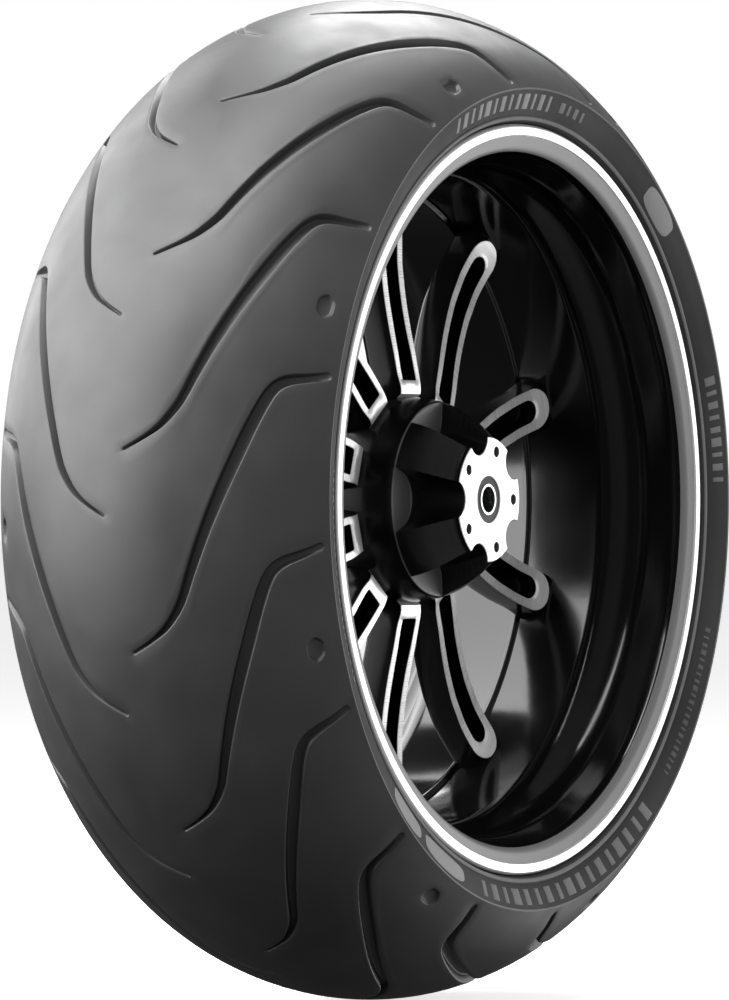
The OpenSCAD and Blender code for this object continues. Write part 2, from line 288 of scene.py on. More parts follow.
def rubber(name, dark, light, rough_low, rough_high, sheen=0.5):
    """Moulded rubber: cloudy colour, uneven sheen and a fine moulded grain."""
    m, tree, shader = material(name, dark, rough_low, Specular_IOR_Level=sheen)
    cloud = texture(tree, "ShaderNodeTexNoise", 9.0, 5.0)
    color = blend_colors(tree, spread(tree, cloud, 0.35, 0.65, 0, 1), dark, light)
    tree.links.new(color, shader.inputs["Base Color"])
    patch = texture(tree, "ShaderNodeTexNoise", 38.0, 4.0)
    uneven_roughness(tree, shader, patch, rough_low, rough_high)
    add_bump(tree, shader, texture(tree, "ShaderNodeTexNoise", 900.0, 2.0), 0.12, 0.0003)
    return m


def black_paint(name, color, rough_low, rough_high, sheen=0.5):
    """Black powder coat with faint orange peel and a slightly uneven gloss."""
    m, tree, shader = material(name, color, rough_low, Specular_IOR_Level=sheen)
    patch = texture(tree, "ShaderNodeTexNoise", 16.0, 3.0)
    uneven_roughness(tree, shader, patch, rough_low, rough_high)
    add_bump(tree, shader, texture(tree, "ShaderNodeTexNoise", 120.0, 2.0), 0.05, 0.0004)
    return m


def machined(name, color, rough_low, rough_high, metallic, sheen=0.5):
    """Bright turned aluminium with fine cutter lines round the axle."""
    m, tree, shader = material(name, color, rough_low, metallic, Specular_IOR_Level=sheen)
    coords = tree.nodes.new("ShaderNodeTexCoord")
    apart = tree.nodes.new("ShaderNodeSeparateXYZ")
    tree.links.new(coords.outputs["Object"], apart.inputs["Vector"])
    flat = tree.nodes.new("ShaderNodeCombineXYZ")
    tree.links.new(apart.outputs["X"], flat.inputs["X"])
    tree.links.new(apart.outputs["Z"], flat.inputs["Y"])
    length = tree.nodes.new("ShaderNodeVectorMath")
    length.operation = "LENGTH"
    tree.links.new(flat.outputs["Vector"], length.inputs[0])
    lines = tree.nodes.new("ShaderNodeTexNoise")
    lines.noise_dimensions = "1D"
    lines.inputs["Scale"].default_value = 2200.0
    lines.inputs["Detail"].default_value = 2.0
    tree.links.new(length.outputs["Value"], lines.inputs["W"])
    uneven_roughness(tree, shader, lines.outputs["Fac"], rough_low, rough_high)
    add_bump(tree, shader, lines.outputs["Fac"], 0.1, 0.0001)
    return m


def metal(name, color, rough_low, rough_high):
    """Plain metal with a slightly uneven finish."""
    m, tree, shader = material(name, color, rough_low, 1.0)
    patch = texture(tree, "ShaderNodeTexNoise", 300.0, 4.0)
    uneven_roughness(tree, shader, patch, rough_low, rough_high)
    return m


def woven(name, dark, light):
    """Cord ply: parallel cords seen through a skin of rubber."""
    m, tree, shader = material(name, dark, 0.7)
    wave = texture(tree, "ShaderNodeTexWave", 260.0, 1.0)
    tree.links.new(blend_colors(tree, wave, dark, light), shader.inputs["Base Color"])
    add_bump(tree, shader, wave, 0.4, 0.0004)
    return m


RUBBER_TREAD = rubber("tread_rubber", (0.022, 0.022, 0.0235), (0.034, 0.034, 0.0355), 0.40, 0.50)
RUBBER_SIDE = rubber("sidewall_rubber", (0.034, 0.034, 0.034), (0.046, 0.046, 0.0455), 0.55, 0.65, 0.12)
RUBBER_HIDDEN = rubber("hidden_rubber", (0.012, 0.012, 0.012), (0.022, 0.022, 0.022), 0.6, 0.75)
MARK_GREY = rubber("raised_mark", (0.27, 0.27, 0.268), (0.31, 0.31, 0.308), 0.55, 0.65, 0.2)
MARK_FAINT = rubber("raised_line", (0.09, 0.09, 0.0895), (0.115, 0.115, 0.1145), 0.55, 0.65, 0.2)
# a mid grey for raised marks; the same rubber paints a highlight along the sidewall's two thin ribs
MARK_DIM_AND_RIB_HIGHLIGHT = rubber("raised_mark_dim_and_rib_highlight", (0.15, 0.15, 0.149), (0.19, 0.19, 0.188), 0.55, 0.65, 0.2)
BLACK = black_paint("wheel_gloss_black", (0.003, 0.003, 0.0033), 0.09, 0.15)
SPOKE_BLACK = black_paint("spoke_gloss_black", (0.003, 0.003, 0.0033), 0.12, 0.18, 0.07)
SATIN = black_paint("hub_satin_black", (0.005, 0.005, 0.0053), 0.20, 0.28)
POCKET = black_paint("hub_pocket_satin", (0.10, 0.10, 0.101), 0.40, 0.50)
MACHINED = machined("machined_face", (0.93, 0.93, 0.94), 0.26, 0.36, 0.55)
LIP = machined("turned_lip", (0.22, 0.22, 0.225), 0.36, 0.46, 0.3, sheen=0.2)


# ------------------------------------------------------------------ tyre: tread
GROOVE_LINE = [(6, 0.1), (20, -1.3), (30, -2.6), (38, -4.3), (42, -5.4), (50, -8.9), (60, -13.4),
               (70, -17.8), (80, -22.2), (90, -26.9), (95, -29.1), (99, -30.5), (104, -31.4),
               (110, -31.95), (120, -32.5), (134, -33.4), (150, -34.3)]
GROOVE_HALF_W = [(6, 1.1), (20, 1.35), (30, 2.1), (38, 2.7), (50, 3.2), (60, 3.7), (80, 4.3),
                 (92, 4.1), (105, 3.7), (120, 2.9), (134, 2.6)]
GROOVE_DEPTHS = [(6, 1.2), (14, 3.2), (26, 5.6), (36, GROOVE_DEPTH), (104, GROOVE_DEPTH),
                 (118, 4.6), (134, 1.0)]
GROOVE_START, GROOVE_STOP, GROOVE_STEP = 7.2, 132.0, 3.2
MOST_INSET = 0.78  # the largest share of a groove's half width by which a contour is set in
# Contours of a groove from outside in: (inset in mm, share of the depth, added depth in mm)
GROOVE_RINGS = [(-0.7, 0.0, 0.0), (-0.15, 0.0, 0.16), (0.25, 0.0, 0.75), (0.85, 0.86, 0.0),
                (1.35, 0.975, 0.0), (2.1, 1.0, 0.0)]


def crown_radius(s):
    return CROWN_C + CROWN_R * math.cos(s / CROWN_R)


def crown_point(s, turn_deg, depth):
    """A tread point: s is the arc length from the middle plane, depth goes into the rubber."""
    a = s / CROWN_R
    rho = CROWN_R - depth
    return place(CROWN_C + rho * math.cos(a), math.radians(turn_deg), rho * math.sin(a))


def groove_shift(s):
    return read_table(GROOVE_LINE, abs(s))


def groove_section(s, inset):
    """Half width of a groove at s, less an inset, and how steeply the groove runs round the tyre."""
    width = read_table(GROOVE_HALF_W, s)
    slope = math.radians(groove_shift(s + 0.5) - groove_shift(s - 0.5)) * crown_radius(s)
    return width - min(inset, MOST_INSET * width), slope


def groove_contour(tip, side, inset):
    """Closed loop of (s, turn) round a groove, a given distance inside its edge."""
    steps = int((GROOVE_STOP - GROOVE_START) / GROOVE_STEP) + 1
    stations = [GROOVE_START + i * GROOVE_STEP for i in range(steps)]
    stations.append(GROOVE_STOP)
    upper, lower = [], []
    for s in stations:
        turn = tip + groove_shift(s)
        half, slope = groove_section(s, inset)
        length = math.hypot(1, slope)
        ns, nu = -slope / length, 1 / length
        du = math.degrees(half * nu / crown_radius(s))
        lower.append((s + half * ns, turn + du))
        upper.append((s - half * ns, turn - du))
    caps = []
    for s, sign in ((GROOVE_STOP, 1), (GROOVE_START, -1)):
        half, slope = groove_section(s, inset)
        along = math.atan2(slope, 1)
        cap = []
        for k in range(1, 6):
            a = along + sign * math.pi / 2 - math.pi * k / 6
            ds, du = half * math.cos(a), math.degrees(half * math.sin(a) / crown_radius(s))
            cap.append((s + ds, tip + groove_shift(s) + du))
        caps.append(cap)
    loop = lower + caps[0] + upper[::-1] + caps[1]
    return [(side * s, turn) for s, turn in loop]


DIMPLE_RINGS = [(-0.6, 0.0), (-0.1, 0.15), (0.3, 0.7), (1.0, 2.2), (1.7, 2.5)]
DIMPLE_S = 122.0
DIMPLE_HALF = (5.6, 8.6)


def dimple_contour(turn, side, inset):
    """Closed six-sided loop with soft corners round a small pit near the tread edge."""
    wide, long = DIMPLE_HALF
    corners = [(wide, -long / 2), (wide, long / 2), (0, long), (-wide, long / 2), (-wide, -long / 2),
               (0, -long)]
    loop = rounded(corners, 2.0, steps=2, closed=True)
    shrink_s, shrink_u = (wide - inset) / wide, (long - inset * 1.15) / long
    r = crown_radius(DIMPLE_S)
    return [(side * (DIMPLE_S + ds * shrink_s), turn + math.degrees(du * shrink_u / r))
            for ds, du in loop]


def tread_cell():
    """Points (s, sheared turn, depth) and triangles of one 45 degree cell of the tread."""
    cell = 2 * PITCH
    start = TIP_RIGHT - (TIP_RIGHT - TIP_LEFT + PITCH) / 2
    loops = []
    for k in range(2):
        for tip, side in ((TIP_RIGHT + k * PITCH, 1), (TIP_LEFT + k * PITCH, -1)):
            for inset, share, extra in GROOVE_RINGS:
                loop = []
                for s, turn in groove_contour(tip, side, inset):
                    depth = read_table(GROOVE_DEPTHS, abs(s)) * share
                    loop.append((s, turn - groove_shift(s), depth + min(extra, 0.6)))
                loops.append(loop)
    # the pits sit between two grooves, at a fixed angle on each side
    for turn, side in ((109.5, 1), (184.0, -1)):
        sheared = turn - groove_shift(DIMPLE_S)
        turn += cell * round((start + cell / 2 - sheared) / cell)
        for inset, depth in DIMPLE_RINGS:
            loops.append([(s, t - groove_shift(s), depth) for s, t in dimple_contour(turn, side, inset)])
    points, depths, edges = [], [], []
    for loop in loops:
        first = len(points)
        for s, t, depth in loop:
            points.append((s, t))
            depths.append(depth)
        edges += [(first + i, first + (i + 1) % len(loop)) for i in range(len(loop))]
    outer = [loop for loop in loops if loop[0][2] == 0.0]
    for i in range(CELL_ACROSS + 1):
        s = -EDGE_S + 2 * EDGE_S * i / CELL_ACROSS
        for j in range(CELL_AROUND + 1):
            t = start + cell * j / CELL_AROUND
            inner = 0 < j < CELL_AROUND and 0 < i < CELL_ACROSS
            if inner and any(near_loop(s, t, loop) for loop in outer):
                continue
            points.append((s, t))
            depths.append(0.0)
    return points, depths, edges, cell, start


def near_loop(s, t, loop):
    """True if a tread point is inside a contour or too close to it."""
    scale = math.radians(1) * crown_radius(s)
    inside = False
    for (s0, t0, _), (s1, t1, _) in zip(loop, loop[1:] + loop[:1]):
        if (t0 > t) != (t1 > t) and s < (s1 - s0) * (t - t0) / (t1 - t0) + s0:
            inside = not inside
    if inside:
        return True
    return min(math.hypot(s - s0, (t - t0) * scale) for s0, t0, _ in loop) < LOOP_CLEAR


def tread():
    """The grooved tread as one closed band of rubber."""
    points, depths, edges, cell, start = tread_cell()
    flat = [Vector((s, t * DEGREE_MM)) for s, t in points]
    out_pts, _, triangles, origins, _, _ = delaunay_2d_cdt(flat, edges, [], 0, 1e-6)
    depth_of = []
    for origin in origins:
        depth_of.append(max((depths[k] for k in origin if k < len(depths)), default=0.0))
    verts, faces = [], []
    for c in range(int(360 / cell)):
        faces += shifted(triangles, len(verts))
        for p, depth in zip(out_pts, depth_of):
            turn = p.y / DEGREE_MM + groove_shift(p.x) + c * cell
            verts.append(crown_point(p.x, turn, depth))
    # inner skin, with the two narrow side bands that close the ring
    around = int(CELL_AROUND * 360 / cell)
    skin = [(EDGE_S - 2 * EDGE_S * i / SKIN_BANDS, TREAD_THICK) for i in range(SKIN_BANDS + 1)]
    skin = [(EDGE_S, 0.0), *skin, (-EDGE_S, 0.0)]
    faces += shifted(ring_bands(len(skin), around), len(verts))
    verts += [crown_point(s, start + 360 * j / around + groove_shift(s), depth)
              for s, depth in skin for j in range(around)]
    return piece("tread", verts, faces, [RUBBER_TREAD], "wheel",
                 replaces=("tread_cap", "tread_base"), sharp_angle=50)


tread()

# ------------------------------------------------------------------ tyre: sidewalls
SIDE_FACE = [(264.9, 119.55), (264.5, 119.98), (263.6, 119.9), (263.0, 119.35), (262.3, 119.15),
             (254.0, 116.4), (249.0, 113.9), (247.2, 112.8), (246.7, 112.65), (246.1, 113.2),
             (245.3, 113.4), (244.2, 113.0), (243.4, 112.0), (242.5, 109.6), (241.8, 107.4),
             (240.6, 105.2), (238.0, 103.6), (236.0, 104.4), (240.0, 106.6), (247.0, 109.0),
             (256.0, 112.0), (262.5, 112.0)]

# Corners of SIDE_FACE that lie on its two thin ribs; their bands get a paler rubber as a painted
# highlight along the ribs
RIB_HIGHLIGHT_CORNERS = (0, 1, 2, 9, 10, 11)
SIDE_STEPS = 4


def sidewall(name, side):
    radii = [0.2, 0.35, 0.4, 0.5, 0.4, 8, 2, 0.8, 0.5, 0.7, 0.9, 0.8, 0.5, 1.0, 1.2, 1, 1, 1, 1, 2, 3, 1]
    profile = rounded(SIDE_FACE, radii, steps=SIDE_STEPS, closed=True)
    profile = [(r, side * out) for r, out in profile]
    # the bands on the two thin ribs get the paler rubber as a painted highlight
    verts, faces, slots = revolved(profile, 360, lambda k: int(k // (SIDE_STEPS + 1) in RIB_HIGHLIGHT_CORNERS))
    word = "right" if side > 0 else "left"
    return piece(name, verts, faces, [RUBBER_SIDE, MARK_DIM_AND_RIB_HIGHLIGHT], "wheel",
                 replaces=(f"sidewall_{word}", f"chafer_{word}"), face_material=slots, sharp_angle=60)


sidewall("sidewall_right_moulded", 1)
sidewall("sidewall_left_moulded", -1)


def side_height(r):
    """How far out the sidewall's face lies at radius r, between the rib and the tread edge."""
    return read_table(SIDE_FACE[7:3:-1], r)


OVAL_LIFT, BAR_LIFT = 0.3, 0.25


def raised_pad(outline, side, lift):
    """Vertices and faces of a thin pad on the sidewall; outline is a loop of (radius, degrees)."""
    n = len(outline)
    mid_r = sum(r for r, _ in outline) / n
    mid_t = sum(t for _, t in outline) / n
    verts = []
    for scale, height in ((1.0, -0.3), (1.0, lift * 0.55), (0.94, lift), (0.5, lift), (0.0, lift)):
        if scale == 0.0:
            verts.append(place(mid_r, math.radians(mid_t), side * (side_height(mid_r) + height)))
            continue
        for r, t in outline:
            rr = mid_r + (r - mid_r) * scale
            tt = mid_t + (t - mid_t) * scale
            verts.append(place(rr, math.radians(tt), side * (side_height(rr) + height)))
    faces = ring_bands(4, n)
    faces += [(3 * n + i, 3 * n + (i + 1) % n, 4 * n) for i in range(n)]
    faces.append(tuple(range(n))[::-1])
    return verts, faces


def joined(parts):
    """Several (vertices, faces) pairs as one."""
    verts, faces = [], []
    for more, more_faces in parts:
        faces += shifted(more_faces, len(verts))
        verts += more
    return verts, faces


def oval(r, t, length, width):
    """Outline of a pad with round ends that follows the tyre round."""
    loop = []
    for c, s in circle(1.0, 48):
        u = math.copysign(abs(c) ** 0.75, c) * length / 2
        v = math.copysign(abs(s) ** 0.5, s) * width / 2
        loop.append((r + v, t + math.degrees(u / r)))
    return loop


def bar(r_low, r_high, t, width):
    """Outline of a short raised bar that points outwards."""
    half = math.degrees(width / (r_low + r_high))
    return [(r_low, t - half), (r_high, t - half), (r_high, t + half), (r_low, t + half)]


# Raised marks in place of lettering: (first angle, last angle, bars, inner radius, outer radius, tone)
BAR_TONES = [MARK_FAINT, MARK_DIM_AND_RIB_HIGHLIGHT, MARK_GREY]
BAR_ROWS = [(85.5, 112.5, 13, 250.8, 260.6, 2), (75.5, 81.5, 4, 252.5, 259.0, 1),
            (3.0, 18.0, 9, 251.2, 259.4, 1), (-45.0, -20.0, 22, 253.0, 257.2, 0),
            (-104.5, -53.5, 17, 250.2, 260.4, 1), (176.0, 206.0, 24, 252.2, 255.6, 1)]


def side_marks():
    ovals = [oval(255.3, 48.2, 41, 13.6), oval(254.9, 230.4, 43, 13.2), oval(254.9, 243.0, 55, 13.2)]
    for word, side in (("right", 1), ("left", -1)):
        verts, faces = joined([raised_pad(o, side, OVAL_LIFT) for o in ovals])
        piece(f"side_ovals_{word}", verts, faces, [MARK_GREY], "wheel",
              sharp_angle=40)
        bars, slots = [], []
        for first, last, count, low, high, tone in BAR_ROWS:
            pitch = (last - first) / (count - 1)
            space = math.radians(pitch) * (low + high) / 2
            for k in range(count):
                width = space * (0.34, 0.55, 0.34, 0.7, 0.45)[k % 5]
                bars.append(raised_pad(bar(low, high, first + pitch * k, width), side, BAR_LIFT))
                slots += [tone] * len(bars[-1][1])
        verts, faces = joined(bars)
        piece(f"side_bars_{word}", verts, faces, BAR_TONES, "wheel",
              face_material=slots, sharp_angle=40)


side_marks()

# ------------------------------------------------------------------ wheel: rim
# Half of the rim's section, (radius, out, corner radius, finish of the band that starts here)
RIM_PROFILE = [
    (234.3, FLANGE_OUT, 0.4, "face"), (239.6, FLANGE_OUT, 0.5, "face"), (240.9, 110.0, 0.6, "face"),
    (241.5, 108.6, 0.6, "black"), (241.8, 107.0, 0.6, "black"), (240.4, 104.6, 1.5, "black"),
    (236.5, 102.3, 3, "black"),
    (229.4, 101.6, 2, "black"), (228.5, 100.4, 0.8, "black"), (227.0, 83.0, 1, "black"),
    (228.0, 80.0, 1, "black"), (226.5, 76.0, 2, "black"), (214.0, 63.0, 6, "black")]
RIM_INNER = [
    (208.0, 55.0, 6, "black"), (217.8, 70.0, 6, "black"), (221.0, 79.0, 5, "black"),
    (221.9, 95.0, 1, "black"), (222.2, 100.0, 1.0, "black"), (223.5, 104.9, 3, "lip"),
    (226.5, 108.0, 3, "lip"), (233.7, 110.0, 0.3, "face")]


def valve_boss():
    """A round pad inside the barrel, with a flat seat for the valve nut, on the -X side."""
    sides = 48
    rings = [(4.1, 209.5), (4.1, VALVE_SEAT_R), (10.3, VALVE_SEAT_R), (11.0, VALVE_SEAT_R + 0.7),
             (11.0, 209.5)]
    verts = [(-height * MM, -out * MM, z * MM)
             for radius, height in rings for out, z in circle(radius, sides, (VALVE_OUT, 0.0))]
    return verts, ring_bands(len(rings), sides, closed=True)


def rim():
    mirrored_outer = [(r, -o, c, z) for r, o, c, z in reversed(RIM_PROFILE)]
    mirrored_inner = [(r, -o, c, z) for r, o, c, z in reversed(RIM_INNER)]
    rib = [(208.0, -0.5, 0.8, "black"), (204.8, -1.3, 0.8, "black"), (204.8, -4.2, 0.8, "black"),
           (208.0, -5.0, 0.8, "black")]
    loop = RIM_PROFILE + mirrored_outer + mirrored_inner + rib[::-1] + RIM_INNER
    points = [(r, o) for r, o, _, _ in loop]
    steps = 4
    profile = rounded(points, [c for _, _, c, _ in loop], steps=steps, closed=True)
    zones = {"black": 0, "face": 1, "lip": 2}

    def slot(k):
        corner, part = divmod(k, steps + 1)
        _, out, _, zone = loop[corner]
        if out > 0:
            return zones[zone] if part >= steps // 2 else slot_before(corner)
        return mirrored_zone(corner, part)

    def slot_before(corner):
        return zones[loop[corner - 1][3]] if loop[corner - 1][1] > 0 else 0

    def mirrored_zone(corner, part):
        following = loop[(corner + 1) % len(loop)]
        if part >= steps // 2:
            return zones[following[3]] if following[1] < 0 else 0
        return zones[loop[corner][3]]

    verts, faces, slots = revolved(profile, 360, slot)
    boss_verts, boss_faces = valve_boss()
    slots += [0] * len(boss_faces)
    verts, faces = joined([(verts, faces), (boss_verts, boss_faces)])
    return piece("rim_barrel_finished", verts, faces, [BLACK, MACHINED, LIP], "wheel",
                 replaces=("rim_barrel",), face_material=slots, sharp_angle=50)


rim()

# ------------------------------------------------------------------ wheel: spokes
SPOKE_FRONT = [(60, 20.5), (65.5, 23.0), (67, 25.2), (69.5, 26.3), (72.5, 26.2), (77, 25.3), (81, 24.3),
               (96, 21.3), (112, 17.8), (127, 15.0), (142, 12.9), (158, 11.6), (172, 11.6), (184, 12.8),
               (194, 14.9), (202, 17.4), (210, 20.4)]
SPOKE_IN_R = HUB_R - 0.5
SPOKE_OUT_R = WELL_IN_R + 1.0
SPOKE_BOTTOM = 24.4
SPOKE_STATIONS = [SPOKE_IN_R + (SPOKE_OUT_R - SPOKE_IN_R) * k / 48 for k in range(49)]
BRIGHT_WALL = 5.9
CHANNEL_START, CHANNEL_END = 77.0, 196.5
CHANNEL_HALF_W = SPOKE_HALF_W - BRIGHT_WALL
CHANNEL_DEPTH = 12.0
CHANNEL_FLARE, CHANNEL_FLARE_END = 1.2, 118.0
BEVEL = 0.35
CORNER_R = 12.5
CORNER_DROP = 3.2
BRIGHT_TIP = 207.0
# Contours of the channel from the bright edge down: (inset, drop)
CHANNEL_RINGS = [(0.0, 0.0), (BEVEL, BEVEL), (BEVEL + 0.5, CHANNEL_DEPTH - 2.0),
                 (BEVEL + 1.1, CHANNEL_DEPTH - 0.5), (BEVEL + 2.4, CHANNEL_DEPTH)]


def channel_loop(inset):
    """Loop of (r, w) round the channel: square corners at the hub end, a half circle outside."""
    half = CHANNEL_HALF_W - inset
    start = CHANNEL_START + inset
    centre = CHANNEL_END - CHANNEL_HALF_W
    corner = max(0.6, 1.4 - inset * 0.3)

    def wall(r):
        return half + CHANNEL_FLARE * eased((CHANNEL_FLARE_END - r) / (CHANNEL_FLARE_END - CHANNEL_START))

    loop = rounded([(start + 6, -wall(start + 6)), (start, -wall(start)), (start, wall(start)),
                    (start + 6, wall(start + 6))], [0, corner, corner, 0], steps=3)
    n = 36
    radii = [start + 6 + (centre - start - 6) * k / n for k in range(1, n)]
    side = [(r, wall(r)) for r in radii]
    arc = [(centre + half * math.sin(math.pi * k / 18), half * math.cos(math.pi * k / 18))
           for k in range(19)]
    other = [(r, -w) for r, w in reversed(side)]
    return loop + side + arc + other


def bright_outline(outset):
    """Open line of (r, w) round the outer end of the bright face, from one side to the other."""
    half = SPOKE_HALF_W - BEVEL + outset
    centre = BRIGHT_TIP - CORNER_R
    reach = CORNER_R + outset
    flat = half - reach
    quarter = [(math.sin(math.pi / 2 * k / 10), math.cos(math.pi / 2 * k / 10)) for k in range(11)]
    upper = [(centre + reach * x, flat + reach * y) for x, y in quarter]
    return upper + [(r, -w) for r, w in reversed(upper)]


def tip_fill():
    """Points on the bright face between the end of the channel and the tip, for an even surface."""
    centre, corner = CHANNEL_END - CHANNEL_HALF_W, BRIGHT_TIP - CORNER_R
    half = SPOKE_HALF_W - BEVEL
    points = []
    for k in range(1, 18):
        a = math.pi * (k / 18 - 0.5)
        reach = CHANNEL_HALF_W
        while True:
            r, w = centre + reach * math.cos(a), abs(reach * math.sin(a))
            past_corner = math.hypot(r - corner, max(0.0, w - half + CORNER_R)) > CORNER_R
            if w > half or (r > corner and past_corner):
                break
            reach += 0.1
        for share in (0.25, 0.5, 0.75):
            far = CHANNEL_HALF_W + (reach - CHANNEL_HALF_W) * share
            points.append((centre + far * math.cos(a), far * math.sin(a)))
    return points


def edge_drop(r):
    """How far the long edge of a spoke lies below its bright face: more in the outer corners."""
    past = max(0.0, r - (BRIGHT_TIP - CORNER_R))
    return BEVEL + (CORNER_DROP - BEVEL) * min(1.0, past / (CORNER_R * 0.8)) ** 1.5


def spoke_plan():
    """Plan of a spoke's front as points (r, w), their drops, triangles and material indices."""
    points, drops, edges = [], [], []

    def add_line(line, drop, closed=False):
        first = len(points)
        points.extend(line)
        drops.extend(drop if isinstance(drop, list) else [drop] * len(line))
        last = len(line) if closed else len(line) - 1
        edges.extend((first + i, first + (i + 1) % len(line)) for i in range(last))

    for inset, drop in CHANNEL_RINGS:
        add_line(channel_loop(inset), drop, closed=True)
    tip_start = BRIGHT_TIP - CORNER_R
    inner = [r for r in SPOKE_STATIONS if r < tip_start - 1]
    for outset, drop in ((0.0, 0.0), (BEVEL, BEVEL)):
        w = SPOKE_HALF_W - BEVEL + outset
        if outset == 0.0:
            line = [(r, w) for r in inner] + bright_outline(outset) + [(r, -w) for r in reversed(inner)]
            add_line(line, drop)
        else:
            add_line(bright_outline(outset), drop)
    for w in (SPOKE_HALF_W, -SPOKE_HALF_W):
        add_line([(r, w) for r in SPOKE_STATIONS], [edge_drop(r) for r in SPOKE_STATIONS])
    for r in SPOKE_STATIONS:
        for w in (-4.5, 0.0, 4.5):
            in_channel = CHANNEL_START + 3.4 < r < CHANNEL_END - 8
            if in_channel or r < CHANNEL_START - 2:
                points.append((r, w))
                drops.append(CHANNEL_DEPTH if in_channel else 0.0)
    for point in tip_fill():
        points.append(point)
        drops.append(0.0)
    for w in (-9.0, 0.0, 9.0):
        points.append((SPOKE_OUT_R, w))
        drops.append(BEVEL)
    flat = [Vector(p) for p in points]
    out, _, tris, origins, _, _ = delaunay_2d_cdt(flat, edges, [], 0, 1e-6)
    drop_of = [max((drops[k] for k in origin if k < len(drops)), default=0.0) for origin in origins]
    kinds = []
    for tri in tris:
        bright = all(drop_of[k] <= BEVEL + 1e-6 for k in tri) and out[tri[0]].x < SPOKE_OUT_R - 0.5
        kinds.append(1 if bright and max(out[k].x for k in tri) < BRIGHT_TIP + 0.6 else 0)
    return [(p.x, p.y) for p in out], drop_of, tris, kinds


SPOKE_PLAN = spoke_plan()


def spoke_front(r):
    return read_table(SPOKE_FRONT, r)


def spoke_section(r):
    """Half outline (w, drop) of a spoke's side and back at radius r, from the edge to the middle."""
    top = edge_drop(r)
    flare = 4.0 * max(0.0, (r - 190) / 18) ** 2 + 3.0 * max(0.0, (80 - r) / 14) ** 2
    flare = min(flare, 4.0)
    half = SPOKE_HALF_W
    corners = [(half, top), (half + 0.1 + flare * 0.3, top + 4), (half - 0.2 + flare, 15),
               (half - 1.2 + flare, 21), (half - 4.5, SPOKE_BOTTOM), (0.0, SPOKE_BOTTOM)]
    return rounded(corners, [0, 2.5, 5, 3, 3, 0], steps=3)


def spoke(i):
    """One channelled spoke with bright walls; the channel and the sides are gloss black."""
    turn = math.radians(SPOKE_STEP * (i + 0.5))
    along = (math.cos(turn), math.sin(turn))

    def at(r, w, drop):
        out = spoke_front(r) - drop
        w *= 1 - 0.1 * eased((82 - r) / 12)
        x = r * along[0] - w * along[1]
        z = r * along[1] + w * along[0]
        return (x * MM, -out * MM, z * MM)

    plan, drops, tris, kinds = SPOKE_PLAN
    verts = [at(r, w, d) for (r, w), d in zip(plan, drops)]
    faces, slots = [tuple(t) for t in tris], list(kinds)
    first = len(verts)
    for r in SPOKE_STATIONS:
        half = spoke_section(r)
        chain = half + [(-w, d) for w, d in reversed(half[:-1])]
        verts += [at(r, w, d) for w, d in chain]
    n = len(chain)
    for a in range(len(SPOKE_STATIONS) - 1):
        for k in range(n - 1):
            faces.append((first + a * n + k, first + a * n + k + 1,
                          first + (a + 1) * n + k + 1, first + (a + 1) * n + k))
            slots.append(0)
    for end in (0, len(SPOKE_STATIONS) - 1):
        r = SPOKE_STATIONS[end]
        top = sorted((k for k, (pr, _) in enumerate(plan) if abs(pr - r) < 1e-4),
                     key=lambda k: plan[k][1])
        lower = [first + end * n + k for k in range(n)]
        faces.append(tuple(top + lower[1:-1]))
        slots.append(0)
    return piece(f"spoke_{i + 1}_finished", verts, faces, [SPOKE_BLACK, MACHINED], "wheel",
                 replaces=(f"spoke_{i + 1}",), face_material=slots,
                 sharp_angle=38)


for index in range(SPOKES):
    spoke(index)

# ------------------------------------------------------------------ wheel: hub
HUB_BELL = [(30, 66.4), (38, 65.2), (46, 63.4), (53, 60.8), (62, 55.8), (71, 48.9), (78, 43.2),
            (81.5, 40.6), (84, 40.3)]
FLUTES = 5
FLUTE_TURN = 36.0
FLUTE_END_OUT = 48.0
FLUTE_FACE = (42.5, 12.0)
FLUTE_END = (57.0, 19.0)
HUB_STEPS = 900
DISC_PITCH_R, DISC_HOLE_R, DISC_HOLE_DEEP = 32.3, 3.4, 24.0
PULLEY_PITCH_R, PULLEY_HOLE_R, PULLEY_HOLE_DEEP = 45.0, 4.25, 30.0
PULLEY_FACE_OUT = -62.0
BOLTS, HOLE_SIDES = 5, 40
BOLT_STEP = 360 / BOLTS
BOSS_R = 11.5
HOLE_CHAMFER = 0.25
BEARING_SEAT_R, SEAT_CHAMFER, SEAT_STEPS = 15.0, 0.5, 120
WEB_OUT = -10.0
# Closed run of the turned inside and left half: (radius, out, corner radius)
HUB_TURNED = [(66.4, 27, 0), (66.2, 10, 2), (66, -14, 3), (61.5, -20, 3), (60, -58.5, 1),
              (59, -60, 0.6), (55, -60, 0.6), (54, -58.5, 1), (54, -12, 3), (50, -10, 1),
              (27, -10, 1), (24, -13, 3), (24, -69, 1), (23, -70, 0.5), (15.6, -70, 0.4),
              (15, -69.4, 0.3), (15, -58.5, 0.2), (12.5, -58.5, 0.2), (12.5, 72.5, 0.2),
              (15, 72.5, 0)]


# The flat wall at the end of a flute: shares of its height, and how far each lies from its plane
WALL_SHARES = [0.0, 0.02, 0.06, 0.25, 0.5, 0.75, 0.93, 0.98, 1.0]
WALL_OUTS = [0.6, 0.12, 0.0, 0.0, 0.0, 0.0, 0.0, -0.12, -0.6]
ROOT_OUTS = (46, 44, 41, 38, 35, 32, 30)


def smooth_min(a, b, k):
    h = max(0.0, min(1.0, 0.5 + 0.5 * (b - a) / k))
    return b + (a - b) * h - k * h * (1 - h)


